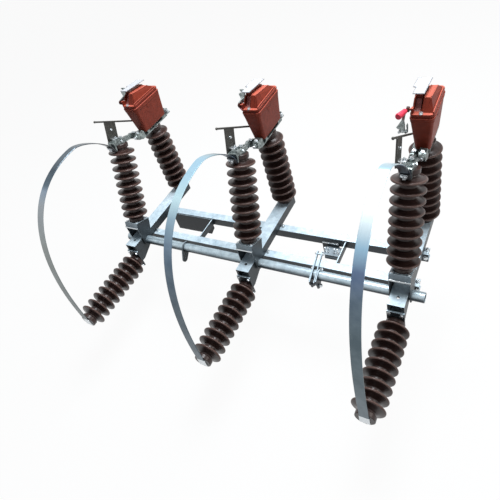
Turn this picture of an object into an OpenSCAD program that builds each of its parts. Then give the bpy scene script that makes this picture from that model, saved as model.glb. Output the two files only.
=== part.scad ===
// Three-phase oil-filled load break switch with rocking post insulators.
// The origin lies on the flat underside of the front channel, under the middle phase.
// X runs along the channels, Y points to the back and Z points up.

/* [Phases and frame] */
// Distance between the middles of neighbouring phases
phase_pitch = 750; // [600:10:900]
// Distance between the front faces of the two main channels
channel_gap = 194; // [180:2:210]
// Height of a main channel
channel_h = 50; // [44:1:60]
// Width of a main channel's flanges
channel_w = 45; // [38:1:50]
// Thickness of the channel steel
channel_t = 5; // [4:0.5:7]
// How far the main channels run past the outer phases
channel_over = 58; // [50:1:80]

/* [Arms] */
// Width of a cross arm
arm_w = 72; // [68:1:76]
// Height of a cross arm
arm_h = 50; // [48:1:56]
// Thickness of the arm steel
arm_t = 5; // [4:0.5:6]
// Reach of an arm to the front of the front channel's middle
arm_front = 183; // [178:1:196]
// Reach of an arm to the back of the front channel's middle
arm_back = 402; // [398:1:440]

/* [Insulators] */
// Diameter of the sheds
shed_d = 138; // [120:1:146]
// Diameter of the porcelain core between the sheds
core_d = 66; // [56:1:74]
// Distance from one shed to the next
shed_pitch = 45; // [42:0.5:46]
// Height of the neck below the lowest shed
neck_base = 45; // [42:1:50]
// Height of the neck above the highest shed
neck_top = 45; // [42:1:50]

/* [Operating shaft] */
// Diameter of the operating shaft
shaft_d = 48; // [42:1:52]
// How far the shaft lies in front of the front channel's middle
shaft_front = 82; // [78:1:86]
// Height of the shaft's axis above the mounting plane
shaft_z = 62; // [60:1:66]
// How far the shaft runs past the outer phases
shaft_over = 98; // [80:1:120]
// Lean of the rocking insulators when the switch is closed
rock_lean = 19; // [16:0.5:22]
// Distance from the shaft's axis to the foot of a rocking insulator
rock_reach = 129; // [124:1:136]

/* [Bands] */
// Width of a flexible band
band_w = 38; // [30:1:44]
// Thickness of a flexible band
band_t = 4; // [3:0.5:6]

/* [Arc chambers] */
// Length of the chamber's floor
tank_l = 192; // [184:1:198]
// Width of the chamber's floor
tank_w = 60; // [56:1:66]
// Height of the chamber up to its rim
tank_h = 143; // [136:1:150]

/* [Hidden] */
$fn = 48;
PHASES = [-phase_pitch, 0, phase_pitch];
sheds = 9;
run_gap = 0.05;                 // radial clearance of the shaft in its bearings
seat_gap = 0.3;                 // clearance of curved pieces that lie on one another
post_h = neck_base + (sheds - 1) * shed_pitch + neck_top;
rear_y = channel_gap;           // the webs of the two channels are this far apart
channel_l = 2 * (phase_pitch + channel_over);
cross_x = 410;
arm_z = channel_h + arm_h;      // top of the arms
arm_l = arm_front + arm_back;

// Plates that carry the shaft and the line insulator below the front of an arm
cheek_t = 8;
cheek_low = -52;
cheek_back = 36;                // the cheeks end this far behind the shaft's axis
end_plate_t = 8;
end_plate_top = arm_z - 38;

// Rocking bracket, seen along the shaft with its foot upright
rocker_t = 5;
rocker_w = 92;
rocker_half = 50;
rocker_off = 16;                // the post stands this far in front of the shaft
rocker_lip = 34;
boss_d = 66;

// Crank plate on the left half of the shaft
crank_x = -432;
crank_lean = -38;
crank_r = 84;
crank_end = 20;

// Fixed posts carry the arc chambers
fixed_y = 362;
fixed_top = arm_z + post_h;
line_z = -10;

// Moving contact on a rocking post
top_reach = rock_reach + post_h;
cast_h = 16;
knife_t = 10;
knife_tip = 84;
tongue_w = 44;

// Upright flat bar beside the moving contact with the arcing rod on its side
flag_x = -45;
flag_t = 6;
flag_h = 123;
rod_d = 9;
rod_l = 330;
rod_y = 47;
rod_z = 769;
rod_fall = 31;

// Arc chamber
box_off = 8;                    // the chamber stands this far to the right of its post
pad_t = 6;
rib_h = 15;
tank_front = 262;
tank_z = fixed_top + pad_t + rib_h;
lean_side = 14;                 // how far the walls lean out up to the rim
lean_front = 18;
lean_back = 9;
rim_w = tank_w + 2 * lean_side;
rim_front = tank_front - lean_front;
rim_back = tank_front + tank_l + lean_back;
rim_z = tank_z + tank_h;
rim_h = 10;
rim_over = 3;
groove_h = 7;                   // the lid's skirt starts this far above the rim
deck_z = rim_z + rim_h + groove_h + 11;
ridge_rise = 50;
hump_rise = 46;

// Contact plate under the chamber
plate_left = 38;
plate_right = 34;
plate_front = tank_front - 36;
plate_back = tank_front + tank_l + 10;
tongue_back = 42;               // the line end reaches this far behind the plate
jaw_reach = 52;

// Trip lever on the left of the lid
LEVER_TURN = [210, 216, 0];     // the left and middle levers are folded back, the right one is down
pin_x = box_off - rim_w / 2 + 8;
pin_y = 258;
pin_z = deck_z + 14;
pin_d = 10;
hub_x = pin_x - 16;
knob_d = 26;
knob_from = [hub_x - 6, -16, 3];
knob_to = [hub_x - 20, -70, 10];
hook_x = hub_x - 10;
fork_y = -43;                   // the fork stands this far in front of the pin

// Double flat lever on the shaft
drive_x = 351;
lever_turn = 25;
lever_bar = 12;
bar_gap = 22;                   // from the middle of one bar to the middle of the other
drive_low = 50;                 // its eye hangs this far below the shaft's axis
guide_y = 112;
guide_z = -21;

// Place and length of one band's curve, from the moving contact to the end of the line post
line_end_y = -arm_front - end_plate_t - post_h;
band_start = [33, 604];
band_lead = [37.4, 660];
band_rise = [0, 0, 74];         // the right band bulges higher than the others
band_top = [-179, 768];
band_lean = [70, 404];         // handles of the curve before and after its top
band_down = [-648, 352];
band_steps = 14;

// One round bar or tube along X
module bar_x(x, y, z, d, l) {
    translate([x, y, z]) rotate([0, 90, 0]) cylinder(d = d, h = l, center = true);
}

// Flat plate cut to an outline in Y and Z, with its thickness along X
module plate_x(x, t, pts) {
    translate([x - t / 2, 0, 0]) rotate([90, 0, 90]) linear_extrude(t) polygon(pts);
}

// Four upright corner rods of a rounded slab between y0 and y1
module slab(x, y0, y1, w, z, t, r) {
    for (i = [-1, 1], y = [y0 + r, y1 - r]) translate([x + i * (w / 2 - r), y, z]) cylinder(r = r, h = t, $fn = 24);
}

// Places what follows in the tilted frame of the rocking posts, on the shaft's axis
module rocking(x) {
    translate([x, -shaft_front, shaft_z]) rotate([-rock_lean, 0, 0]) children();
}

// Points of an arc about c from angle a to angle b
function arc(c, r, a, b, n) = [for (i = [0 : n]) c + r * [cos(a + (b - a) * i / n), sin(a + (b - a) * i / n)]];

// Half outline of one shed whose rim is at height z
function shed(z) = concat([[core_d / 2, z - 15], [core_d / 2 + 5, z - 9], [shed_d / 2 - 7, z - 6.5]],
    arc([shed_d / 2 - 5, z - 1.5], 5, -60, 75, 4),
    [[shed_d / 2 - 20, z + 8], [core_d / 2 + 5, z + 13], [core_d / 2, z + 19]]);

// Post insulator that stands on z = 0
module post() {
    neck = 0.6 * shed_d;
    rims = [for (k = [0 : sheds - 1]) neck_base + k * shed_pitch];
    outline = concat([[0, 0], [neck / 2, 0], [neck / 2, neck_base - 24]],
        [for (z = rims) each shed(z)],
        [[neck / 2, post_h - neck_top + 24], [neck / 2, post_h], [0, post_h]]);
    rotate_extrude($fn = 64) polygon(outline);
}

// Rolled channel with its web in front, from the left end to the right end
module main_channel(y) {
    w = channel_w / 2;
    t = channel_t;
    color("lightsteelblue") translate([-channel_l / 2, y, 0]) rotate([90, 0, 90]) linear_extrude(channel_l)
        polygon([[-w, 0], [w, 0], [w, t], [t - w, t], [t - w, channel_h - t], [w, channel_h - t],
            [w, channel_h], [-w, channel_h]]);
}

module channel_front() { main_channel(0); }
module channel_rear() { main_channel(rear_y); }

// Flat bar on edge between the two main channels
module cross_bar(x) {
    color("lightsteelblue") translate([x - 3, channel_t - channel_w / 2, channel_t])
        cube([6, channel_gap - channel_t, channel_h - 2 * channel_t]);
}

module cross_bar_left() { cross_bar(-cross_x); }
module cross_bar_right() { cross_bar(cross_x); }

// Dark gusset plate that hangs on the web of the rear channel at the left, its lower right corner cut off
module gusset_plate() {
    left = arm_w / 2 + 10 - phase_pitch;
    right = -cross_x - 8;
    high = channel_h - channel_t;
    color("slategray") translate([0, rear_y - channel_w / 2, 0]) rotate([90, 0, 0]) linear_extrude(5)
        polygon([[left, -84], [right - 36, -84], [right, -30], [right, high], [left, high]]);
}

// Cross arm with the plates that carry the shaft and the line post
module arm(x) {
    w = arm_w / 2;
    cheek = [[-arm_front, cheek_low + 30], [-arm_front + 26, cheek_low + 30], [cheek_back - shaft_front, shaft_z - 34],
        [cheek_back - shaft_front, arm_z - arm_t], [-arm_front, arm_z - arm_t]];
    color("lightsteelblue") {
        difference() {
            translate([x, -arm_front, channel_h]) rotate([90, 0, 180]) linear_extrude(arm_l)
                polygon([[-w, 0], [arm_t - w, 0], [arm_t - w, arm_h - arm_t], [w - arm_t, arm_h - arm_t],
                    [w - arm_t, 0], [w, 0], [w, arm_h], [-w, arm_h]]);
            translate([x, 46 - arm_front, arm_z - arm_t - 1]) cylinder(d = 14, h = arm_t + 2);
            shaft_bore(x);
        }
        for (s = [-1, 1]) difference() {
            plate_x(x + s * (w - arm_t - cheek_t / 2), cheek_t, cheek);
            shaft_bore(x);
        }
        translate([x - w - 2, -arm_front - end_plate_t, cheek_low])
            cube([arm_w + 4, end_plate_t, end_plate_top - cheek_low]);
    }
}

module shaft_bore(x) {
    bar_x(x, -shaft_front, shaft_z, shaft_d + 2 * run_gap, arm_w + 20);
}

module arm_left() { arm(PHASES[0]); }
module arm_mid() { arm(PHASES[1]); }
module arm_right() { arm(PHASES[2]); }

// Tube that turns the three rocking brackets
module operating_shaft() {
    l = 2 * (phase_pitch + shaft_over);
    color("lightsteelblue") difference() {
        bar_x(0, -shaft_front, shaft_z, shaft_d, l);
        bar_x(0, -shaft_front, shaft_z, shaft_d - 8, l + 2);
    }
}

// Crank plate with three holes, welded round the shaft
module crank_plate() {
    top = shaft_d / 2 + 8;
    end = crank_r - crank_end;
    color("lightsteelblue") translate([crank_x, -shaft_front, shaft_z]) rotate([crank_lean, 0, 0]) difference() {
        union() {
            bar_x(0, 0, 0, 2 * top, 8);
            plate_x(0, 8, concat([[top, 0]], [[-top, 0]], arc([0, -end], crank_end, 200, 340, 8)));
        }
        bar_x(0, 0, 0, shaft_d, 12);
        for (h = [[-10, -38], [10, -38], [0, -60]]) bar_x(0, h[0], h[1], 9, 12);
    }
}

// Bracket that tips one post with the shaft
module rocker(x) {
    w = rocker_w / 2;
    top = rock_reach;
    near = rocker_off - rocker_half;
    far = -rocker_off - rocker_half;
    color("lightsteelblue") rocking(x) {
        translate([-w, far, top - rocker_t]) cube([rocker_w, 2 * rocker_half, rocker_t]);
        translate([-w, far, top - rocker_lip]) cube([rocker_w, rocker_t, rocker_lip]);
        for (s = [-1, 1]) difference() {
            union() {
                plate_x(s * (w - rocker_t / 2), rocker_t, [[far, top], [-near, top], [-near, top - 24],
                    [boss_d / 2 - 1, 8], [-boss_d / 2 + 1, -8], [far, top - rocker_lip]]);
                translate([s * (w - rocker_t / 2), 0, 0]) bar_x(0, 0, 0, boss_d, rocker_t);
            }
            bar_x(0, 0, 0, shaft_d + 2 * run_gap, 3 * rocker_w);
        }
    }
}

module rocker_left() { rocker(PHASES[0]); }
module rocker_mid() { rocker(PHASES[1]); }
module rocker_right() { rocker(PHASES[2]); }

// The three kinds of post insulator
module rocking_insulator(x) {
    color([0.25, 0.16, 0.15]) rocking(x) translate([0, -rocker_off, rock_reach]) post();
}
module fixed_insulator(x) {
    color([0.25, 0.16, 0.15]) translate([x, fixed_y, arm_z]) post();
}
module line_insulator(x) {
    color([0.25, 0.16, 0.15]) translate([x, -arm_front - end_plate_t, line_z]) rotate([90, 0, 0]) post();
}

module rocking_insulator_left() { rocking_insulator(PHASES[0]); }
module rocking_insulator_mid() { rocking_insulator(PHASES[1]); }
module rocking_insulator_right() { rocking_insulator(PHASES[2]); }
module fixed_insulator_left() { fixed_insulator(PHASES[0]); }
module fixed_insulator_mid() { fixed_insulator(PHASES[1]); }
module fixed_insulator_right() { fixed_insulator(PHASES[2]); }
module line_insulator_left() { line_insulator(PHASES[0]); }
module line_insulator_mid() { line_insulator(PHASES[1]); }
module line_insulator_right() { line_insulator(PHASES[2]); }

// Cast contact on a rocking post: a waisted body, a knife behind and a tongue for the band in front
module moving_contact(x) {
    body = concat([[20, -50], [25, -22]], arc([6, 8], 19, 0, 60, 4), [[11, 56], [-11, 56]],
        arc([-10, 8], 19, 120, 180, 4), [[-29, -22], [-24, -50]]);
    color("silver") rocking(x) translate([0, -rocker_off, top_reach]) {
        linear_extrude(cast_h) polygon(body);
        translate([0, 0, cast_h]) linear_extrude(4) offset(delta = -6) polygon(body);
        translate([2, 12, cast_h]) cylinder(d = 26, h = 12);
        plate_x(0, knife_t, concat([[40, 0]], arc([knife_tip - 14, 12], 14, -60, 90, 8), [[40, 26]]));
        plate_x(20, 6, concat([[-46, cast_h - 1]], arc([-34, cast_h + 2], 10, 160, 90, 4), [[30, cast_h + 12], [36, cast_h - 1]]));
        plate_x(-2, tongue_w, concat([[-44, 0]], arc([-46.4, -26], 4, -10, -120, 4), [[-60, 12], [-56, cast_h]]));
    }
}
module moving_contact_left() { moving_contact(PHASES[0]); }
module moving_contact_mid() { moving_contact(PHASES[1]); }
module moving_contact_right() { moving_contact(PHASES[2]); }

// Flat bar with a strap over the casting, and the rod with its round nose along the bar's top
module arcing_arm(x) {
    rod_x = x + flag_x;
    strap_z = cast_h + 4;
    color("silver") {
        rocking(x) translate([0, -rocker_off, top_reach]) {
            plate_x(flag_x, flag_t, [[-34, 0.3], [38, 0.3], [38, flag_h - 16], [-34, flag_h]]);
            translate([flag_x, -18, strap_z]) cube([26 - flag_x - 37, 36, 5]);
        }
        translate([rod_x, rod_y, rod_z]) rotate([-90 - rod_fall, 0, 0]) cylinder(d = rod_d, h = rod_l);
        translate([rod_x, rod_y, rod_z]) sphere(d = rod_d + 3);
    }
}
module arcing_arm_left() { arcing_arm(PHASES[0]); }
module arcing_arm_mid() { arcing_arm(PHASES[1]); }
module arcing_arm_right() { arcing_arm(PHASES[2]); }

// Flexible band from the moving contact to the end of the line post, as two smooth cubic curves
function bez(a, b, c, d, t) = pow(1 - t, 3) * a + 3 * pow(1 - t, 2) * t * b + 3 * (1 - t) * t * t * c + t * t * t * d;
function band_line(rise) = let (
        top = band_top + [-0.6 * rise, rise],
        foot = [line_end_y - band_t / 2 - seat_gap, line_z + 25]
    ) concat(
    [for (i = [0 : band_steps - 1]) bez(band_start, band_lead, top + [band_lean[0], 0], top, i / band_steps)],
    [for (i = [0 : 2 * band_steps]) bez(top, top - [band_lean[1], 0], band_down, foot, i / band_steps / 2)],
    [foot - [0, 50]]);
function across(p, i) = let (a = p[max(0, i - 1)], b = p[min(len(p) - 1, i + 1)], d = (b - a) / norm(b - a)) [-d[1], d[0]];
module band(k) {
    p = band_line(band_rise[k]);
    n = len(p);
    color("lightsteelblue") plate_x(PHASES[k], band_w, concat([for (i = [0 : n - 1]) p[i] + across(p, i) * band_t / 2],
        [for (i = [n - 1 : -1 : 0]) p[i] - across(p, i) * band_t / 2]));
}
module band_left() { band(0); }
module band_mid() { band(1); }
module band_right() { band(2); }

// Plate on the fixed post with the jaw in front, two ribs under the chamber and the line pad behind
module fixed_contact(x) {
    inner = knife_t / 2 + 1;
    color("silver") translate([x, 0, fixed_top]) {
        translate([-plate_left, plate_front, 0]) cube([plate_left + plate_right, plate_back - plate_front, pad_t]);
        for (y = [tank_front + 12, tank_front + tank_l - 32])
            translate([box_off - tank_w / 2 + 4, y, pad_t]) cube([tank_w - 8, 20, rib_h]);
        plate_x(-inner - 7, 14, concat([[plate_front + 24, pad_t], [plate_front - 6, pad_t]],
            arc([plate_front - jaw_reach + 16, 42], 16, 215, 60, 8), [[plate_front + 24, 34]]));
        plate_x(inner + 14, 28, concat([[plate_front + 24, pad_t], [plate_front - 10, pad_t], [plate_front - 30, 14]],
            arc([plate_front - 12, 28], 18, 180, 75, 6), [[plate_front + 12, 48], [plate_front + 24, 34]]));
        translate([inner + 14, plate_front - 29, 31]) rotate([90, 0, 0]) cylinder(d = 22, h = 10);
        translate([-8, plate_back - 1, 0]) cube([34, tongue_back, pad_t]);
        for (x = [0, 18]) translate([x, plate_back + tongue_back - 14, 0]) cylinder(d = 10, h = 30);
    }
}
module fixed_contact_left() { fixed_contact(PHASES[0]); }
module fixed_contact_mid() { fixed_contact(PHASES[1]); }
module fixed_contact_right() { fixed_contact(PHASES[2]); }

// Tapered chamber with its rim
module tank(x) {
    color("firebrick") {
        hull() {
            slab(x + box_off, tank_front, tank_front + tank_l, tank_w, tank_z, 1, 10);
            slab(x + box_off, rim_front, rim_back, rim_w, rim_z - 1, 1, 18);
        }
        hull() slab(x + box_off, rim_front - rim_over, rim_back + rim_over, rim_w + 2 * rim_over, rim_z, rim_h, 21);
    }
}
module tank_left() { tank(PHASES[0]); }
module tank_mid() { tank(PHASES[1]); }
module tank_right() { tank(PHASES[2]); }

// Lid: a flat deck, a long ridge on its right, a shorter hump beside it and the pin of the trip lever
module lid(x) {
    c = x + box_off;
    right = rim_w / 2;
    skirt_z = rim_z + rim_h + groove_h;
    ridge = [[rim_front + 15, deck_z], [rim_front + 46, deck_z + ridge_rise],
        [rim_front + 167, deck_z + ridge_rise - 17], [rim_front + 190, deck_z]];
    hump = [[rim_front + 42, deck_z - 1], [rim_front + 72, deck_z + 2], [rim_front + 76, deck_z + hump_rise],
        [rim_front + 168, deck_z + hump_rise - 10], [rim_front + 190, deck_z - 1]];
    color("firebrick") {
        hull() slab(c, rim_front - 1, rim_back + 1, rim_w + 2, skirt_z, deck_z - skirt_z, 19);
        hull() slab(c, rim_front + 3, rim_back - 3, rim_w - 6, rim_z + rim_h, groove_h, 17);
        hull() {
            plate_x(c + right - 31, 28, ridge);
            translate([c - 4, rim_front + 15, deck_z - 1]) cube([right + 1, 190, 2]);
        }
        plate_x(c - 23, 30, hump);
        plate_x(c + right - 3, 5, [[rim_front + 14, deck_z - 1], [rim_back - 20, deck_z - 1],
            [rim_back - 30, deck_z + 8], [rim_front + 40, deck_z + 10]]);
        plate_x(x + pin_x, 8, [[pin_y - 9, deck_z - 1], [pin_y + 12, deck_z - 1], [pin_y + 8, pin_z + 8], [pin_y - 8, pin_z + 8]]);
        bar_x(x + pin_x - 12, pin_y, pin_z, pin_d, 24);
    }
}
module lid_left() { lid(PHASES[0]); }
module lid_mid() { lid(PHASES[1]); }
module lid_right() { lid(PHASES[2]); }

// One round slice of the knob, square to the line from its root to its tip
module knob_slice(at, d, h) {
    run = knob_to - knob_from;
    translate(knob_from + at * run) rotate([acos(run[2] / norm(run)), 0, atan2(run[1], run[0]) + 90]) cylinder(d = d, h = h, $fn = 32);
}

// Trip lever on its pin, with its knob in front and a studded fork over the arcing rod below
module lever(k) {
    translate([PHASES[k], pin_y, pin_z]) rotate([-LEVER_TURN[k], 0, 0]) {
        color("firebrick") difference() {
            bar_x(hub_x, 0, 0, 22, 10);
            bar_x(hub_x, 0, 0, pin_d + 2 * run_gap, 12);
        }
        color("firebrick") hull() {
            bar_x(hub_x - 1, -10, 1, 6, 8);
            knob_slice(0, 14, 1);
        }
        color("crimson") hull() {
            knob_slice(0.08, knob_d - 6, 1);
            knob_slice(0.9, knob_d, 2);
            knob_slice(1, knob_d - 8, 2);
        }
        color("gray") {
            plate_x(hook_x, 7, [[-8, -4], [-30, -10], [fork_y - 4, -18], [fork_y - 4, -72], [fork_y + 4, -72],
                [fork_y + 4, -38], [-28, -30], [-6, -11]]);
            translate([0, fork_y + 4, 0]) rotate([90, 0, 0]) difference() {
                linear_extrude(8) polygon([[-60, -24], [-48, -24], [-46, -40], [-46, -64], [-39, -60], [-41, -42], [-37, -32],
                    [-34, -42], [-35, -74], [-64, -76], [-70, -66], [-65, -60], [-72, -60], [-79, -53], [-70, -40]]);
                translate([-63, -48, -1]) cylinder(d = 10, h = 10);
            }
            for (h = [[-54, -68], [-42, -70], [-68, -72]]) translate([h[0], fork_y + 8, h[1]]) rotate([90, 0, 0]) cylinder(d = 7, h = 18);
        }
    }
}
module lever_left() { lever(0); }
module lever_mid() { lever(1); }
module lever_right() { lever(2); }

// Double flat lever on top of the shaft, with the clamp plates and the eye of the operating rod in front
module drive_lever() {
    low = shaft_d / 2 + 0.4;
    color("lightsteelblue") translate([drive_x, -shaft_front, shaft_z]) rotate([lever_turn, 0, 0]) {
        for (s = [-1, 1]) {
            plate_x(s * bar_gap / 2, 5, [[-58, low - 10], [-48, low + lever_bar],
                [109, low + lever_bar], [109, low], [-26, low]]);
            difference() {
                plate_x(s * (bar_gap / 2 + 5), 5, concat(arc([0, 0], 32, -60, 100, 10),
                    [[-40, low + 6]], arc([-38, -drive_low + 20], 20, 150, 260, 6)));
                bar_x(0, 0, 0, shaft_d + 2 * run_gap, 60);
            }
        }
        bar_x(0, -40, 20 - drive_low, 12, 46);
        bar_x(0, 96, low + lever_bar / 2, 9, 30);
    }
}

// Angle on the rear channel with the tube that guides the operating rod and the four legs of its clamps
module drive_bracket() {
    y = rear_y - channel_w / 2;
    color("slategray") {
        translate([drive_x - 68, y - 8, -86]) cube([90, 8, 108]);
        translate([drive_x - 46, guide_y - 8, -8]) cube([80, y - guide_y + 2, 6]);
        bar_x(drive_x - 4, guide_y, guide_z, 26, 62);
        for (h = [-38, -22, 11, 27]) translate([drive_x + h, guide_y + 14, guide_z - 8]) cylinder(d = 7, h = 56);
    }
}

channel_front();
channel_rear();
cross_bar_left();
cross_bar_right();
gusset_plate();
arm_left();
arm_mid();
arm_right();
operating_shaft();
crank_plate();
rocker_left();
rocker_mid();
rocker_right();
rocking_insulator_left();
rocking_insulator_mid();
rocking_insulator_right();
fixed_insulator_left();
fixed_insulator_mid();
fixed_insulator_right();
line_insulator_left();
line_insulator_mid();
line_insulator_right();
moving_contact_left();
moving_contact_mid();
moving_contact_right();
arcing_arm_left();
arcing_arm_mid();
arcing_arm_right();
band_left();
band_mid();
band_right();
fixed_contact_left();
fixed_contact_mid();
fixed_contact_right();
tank_left();
tank_mid();
tank_right();
lid_left();
lid_mid();
lid_right();
lever_left();
lever_mid();
lever_right();
drive_lever();
drive_bracket();
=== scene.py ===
"""Looks of the oil-filled load break switch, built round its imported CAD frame.

Everything is in metres in the frame's own axes: +X along the main channels, +Y to the back where the
fixed posts stand and +Z up, with the origin on the underside of the front channel.
"""
from __future__ import annotations

import logging
import math
from dataclasses import dataclass, field
from enum import Enum
from typing import Iterable, Sequence

import bmesh
import bpy
from mathutils import Matrix, Vector


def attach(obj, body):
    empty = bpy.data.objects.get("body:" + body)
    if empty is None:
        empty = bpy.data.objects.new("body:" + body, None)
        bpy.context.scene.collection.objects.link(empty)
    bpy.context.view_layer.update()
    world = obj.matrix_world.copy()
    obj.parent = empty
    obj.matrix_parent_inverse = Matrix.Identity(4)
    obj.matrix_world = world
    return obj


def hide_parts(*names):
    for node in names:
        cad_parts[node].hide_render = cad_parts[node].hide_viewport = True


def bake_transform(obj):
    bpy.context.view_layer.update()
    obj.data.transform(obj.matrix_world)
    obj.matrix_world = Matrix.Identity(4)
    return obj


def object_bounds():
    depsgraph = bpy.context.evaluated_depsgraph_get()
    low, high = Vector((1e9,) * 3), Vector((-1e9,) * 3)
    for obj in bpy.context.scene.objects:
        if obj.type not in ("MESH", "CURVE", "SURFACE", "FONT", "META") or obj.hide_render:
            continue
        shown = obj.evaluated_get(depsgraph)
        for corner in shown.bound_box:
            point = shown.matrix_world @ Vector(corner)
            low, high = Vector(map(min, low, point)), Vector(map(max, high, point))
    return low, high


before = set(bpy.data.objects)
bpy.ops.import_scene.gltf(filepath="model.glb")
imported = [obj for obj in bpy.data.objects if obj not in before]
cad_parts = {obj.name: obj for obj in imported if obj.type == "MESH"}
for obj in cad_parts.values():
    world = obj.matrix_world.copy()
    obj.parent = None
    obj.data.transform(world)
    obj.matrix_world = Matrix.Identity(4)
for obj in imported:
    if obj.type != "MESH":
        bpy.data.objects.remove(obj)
CAD_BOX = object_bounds()
LOG = logging.getLogger("switch")

Point = tuple[float, float, float]
Outline = Sequence[tuple[float, float]]
Stops = tuple[tuple[float, str], ...]
Tree, Node, Socket = bpy.types.NodeTree, bpy.types.Node, bpy.types.NodeSocket

PHASES: dict[str, float] = {"left": -0.75, "mid": 0.0, "right": 0.75}
SHAFT_Y, SHAFT_Z = -0.082, 0.062
ROCK_LEAN = math.radians(-19)
POST_FRONT = 0.016
ROCK_REACH = 0.129
POST_HEIGHT = 0.45
ARM_TOP = 0.100
FIXED_Y = 0.362
FIXED_TOP = ARM_TOP + POST_HEIGHT
LINE_Y, LINE_Z = -0.191, -0.010
DRIVE_X = 0.351
DRIVE_LEAN = math.radians(25)
DECK = 0.742
LEVER_PIN: Point = (0.0, 0.258, 0.756)
LEVER_TURN: dict[str, float] = {"left": 210.0, "mid": 216.0, "right": 0.0}
HUB_X = -0.044


class Slot(str, Enum):
    """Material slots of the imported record."""

    STEEL = "galvanised"
    PORCELAIN = "porcelain"
    MOULDING = "moulding"
    KNOB = "knob"
    BAND = "band"
    CONTACT = "contact"


class Axis(Enum):
    """Directions that a bolt's head looks in."""

    UP = Vector((0, 0, 1))
    FRONT = Vector((0, -1, 0))
    LEFT = Vector((-1, 0, 0))
    RIGHT = Vector((1, 0, 0))


# ---------------------------------------------------------------- finishes

def srgb(code: str) -> tuple[float, float, float, float]:
    """Turns an sRGB hex colour to linear.

    Args:
        code: colour such as "#cfe3f0".

    Returns:
        Linear red, green, blue and an alpha of 1.
    """
    parts = [int(code[i:i + 2], 16) / 255 for i in (1, 3, 5)]
    linear = [c / 12.92 if c <= 0.04045 else ((c + 0.055) / 1.055) ** 2.4 for c in parts]
    return (*linear, 1.0)


def add_node(tree: Tree, kind: str, settings: dict | None = None) -> Node:
    """Adds one node, and sets or links what goes into it.

    Args:
        tree: node tree that takes the node.
        kind: Blender's identifier of the node type, without its "ShaderNode" start.
        settings: by property, or by input name or index: a value, a hex colour or an output socket.

    Returns:
        The new node.
    """
    node = tree.nodes.new("ShaderNode" + kind)
    for key, value in (settings or {}).items():
        if isinstance(value, Socket):
            tree.links.new(value, node.inputs[key])
        elif isinstance(key, str) and hasattr(node, key):
            setattr(node, key, value)
        else:
            node.inputs[key].default_value = srgb(value) if isinstance(value, str) else value
    return node


def remap(tree: Tree, value: Socket, low: float, high: float, to_low: float = 0.0,
          to_high: float = 1.0) -> Socket:
    """Maps a value from one range to another and returns its socket."""
    settings = {"From Min": low, "From Max": high, "To Min": to_low, "To Max": to_high, "Value": value}
    return add_node(tree, "MapRange", settings).outputs[0]


def mixed(tree: Tree, share: float | Socket, first: str | Socket, second: str | Socket) -> Socket:
    """Mixes two colours by the share of the second and returns the colour socket."""
    return add_node(tree, "Mix", {"data_type": "RGBA", 0: share, 6: first, 7: second}).outputs[2]


def shaded(tree: Tree, colour: Socket, shade: Socket) -> Socket:
    """Multiplies a colour by a shade and returns the colour socket."""
    return add_node(tree, "VectorMath", {"operation": "MULTIPLY", 0: colour, 1: shade}).outputs[0]


@dataclass(frozen=True)
class Finish:
    """A surface finish: its name, two colours and how it shines."""

    name: str
    colour: str
    second: str
    roughness: float
    metallic: float = 0.0
    mottle_mm: float = 20.0
    grain_mm: float = 1.5
    grain: float = 0.1

    def mix(self, tree: Tree, coords: Node) -> Socket:
        """Mixes the two colours in soft patches and returns the colour socket."""
        patches = add_node(tree, "TexNoise", {"Scale": 1000 / self.mottle_mm, "Detail": 5.0,
                                              "Roughness": 0.6, "Vector": coords.outputs["Object"]})
        spread = remap(tree, patches.outputs["Fac"], 0.35, 0.65)
        return mixed(tree, spread, self.colour, self.second)

    def dress(self, tree: Tree, shader: Node, coords: Node) -> None:
        """Adds what only this finish has; a plain finish adds nothing."""

    def material(self) -> bpy.types.Material:
        """Builds the material once.

        Returns:
            The material of this finish.
        """
        known = bpy.data.materials.get(self.name)
        if known:
            return known
        material = bpy.data.materials.new(self.name)
        material.use_nodes = True
        tree = material.node_tree
        shader = tree.nodes["Principled BSDF"]
        shader.inputs["Metallic"].default_value = self.metallic
        coords = add_node(tree, "TexCoord")
        tree.links.new(self.mix(tree, coords), shader.inputs["Base Color"])
        grain = add_node(tree, "TexNoise", {"Scale": 1000 / self.grain_mm, "Detail": 3.0,
                                            "Vector": coords.outputs["Object"]}).outputs["Fac"]
        rough = remap(tree, grain, 0.0, 1.0, self.roughness * 0.8, min(1.0, self.roughness * 1.25))
        tree.links.new(rough, shader.inputs["Roughness"])
        bump = add_node(tree, "Bump", {"Strength": self.grain, "Distance": self.grain_mm / 2000,
                                       "Height": grain})
        tree.links.new(bump.outputs[0], shader.inputs["Normal"])
        self.dress(tree, shader, coords)
        return material


@dataclass(frozen=True)
class HotDipZinc(Finish):
    """Hot-dip galvanised steel: crystals of 8 to 15 mm, pale on top and, as painted shade, dark grey on
    upright faces.
    """

    # upright: colour of the painted shade on faces that stand upright.
    upright: str = "#2f363b"
    spangle_mm: float = 12.0

    def mix(self, tree: Tree, coords: Node) -> Socket:
        """Lays the crystals over the patches and paints shade on what stands upright."""
        base = super().mix(tree, coords)
        crystals = add_node(tree, "TexVoronoi", {"Scale": 1000 / self.spangle_mm,
                                                 "Vector": coords.outputs["Object"]})
        tone = add_node(tree, "SeparateColor", {0: crystals.outputs["Color"]})
        toned = shaded(tree, base, remap(tree, tone.outputs[0], 0.0, 1.0, 0.90, 1.08))
        # Painted shade: the less a face looks up, the more it takes the upright colour.
        lean = add_node(tree, "SeparateXYZ", {0: coords.outputs["Normal"]})
        return mixed(tree, remap(tree, lean.outputs["Z"], 0.05, 0.75), self.upright, toned)


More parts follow.
